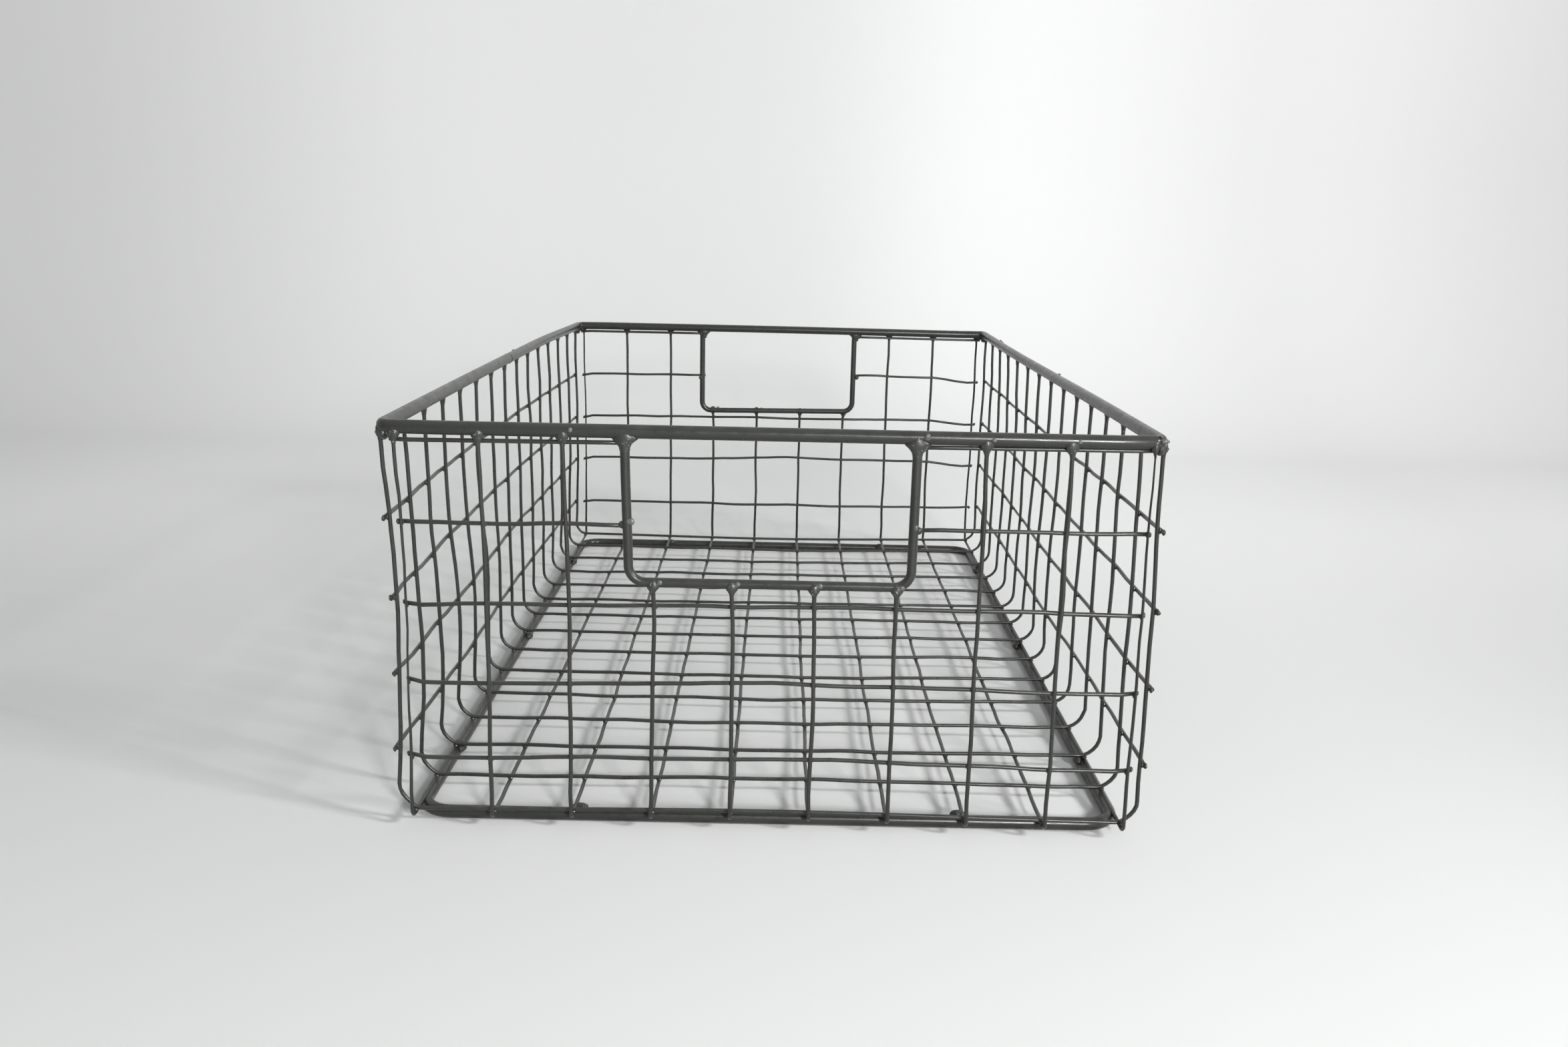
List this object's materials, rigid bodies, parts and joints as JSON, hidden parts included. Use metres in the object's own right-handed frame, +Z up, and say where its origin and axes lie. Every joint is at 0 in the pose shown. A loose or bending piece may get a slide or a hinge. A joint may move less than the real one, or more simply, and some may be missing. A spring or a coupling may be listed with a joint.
{
  "type": "wire locker basket",
  "caption": "Open rectangular basket of welded wire mesh with a thick round-wire rim, a base ring to stand on and a wire-framed hand-hold in each end.",
  "frame": {"origin": "middle of the footprint, on the ground under the base ring", "axes": "+X across the basket, to the right as seen from its front end; +Y along the basket, from the front end to the back end; +Z up"},
  "size_m": [0.2874, 0.433, 0.1568],
  "materials": {
    "wire": "satin dark grey lacquer over steel wire, lighter on faces turned up",
    "weld": "lacquered weld metal, uneven and a little brighter than the wire"
  },
  "bodies": {
    "root": {"rim": "wire", "base_ring": "wire", "handle_front": "wire", "handle_back": "wire", "cross_wire_01": "wire", "cross_wire_02": "wire", "cross_wire_03": "wire", "cross_wire_04": "wire", "cross_wire_05": "wire", "cross_wire_06": "wire", "cross_wire_07": "wire", "cross_wire_08": "wire", "cross_wire_09": "wire", "cross_wire_10": "wire", "cross_wire_11": "wire", "cross_wire_12": "wire", "cross_wire_13": "wire", "cross_wire_14": "wire", "cross_wire_15": "wire", "end_wire_back_1_left": "wire", "end_wire_back_1_right": "wire", "end_wire_back_2_left": "wire", "end_wire_back_2_right": "wire", "end_wire_back_3": "wire", "end_wire_back_4": "wire", "end_wire_back_5": "wire", "end_wire_front_1_left": "wire", "end_wire_front_1_right": "wire", "end_wire_front_2_left": "wire", "end_wire_front_2_right": "wire", "end_wire_front_3": "wire", "end_wire_front_4": "wire", "end_wire_front_5": "wire", "handle_bar_welds": "weld", "handle_root_welds": "weld", "long_wire_01": "wire", "long_wire_02": "wire", "long_wire_03": "wire", "long_wire_04": "wire", "long_wire_05": "wire", "long_wire_06": "wire", "long_wire_07": "wire", "long_wire_08": "wire", "long_wire_09": "wire", "long_wire_10": "wire", "rim_corner_welds": "weld", "rim_seam_weld": "weld", "side_wire_left_1": "wire", "side_wire_left_2": "wire", "side_wire_left_3": "wire", "side_wire_left_4": "wire", "side_wire_left_5": "wire", "side_wire_right_1": "wire", "side_wire_right_2": "wire", "side_wire_right_3": "wire", "side_wire_right_4": "wire", "side_wire_right_5": "wire"}
  },
  "joints": []
}
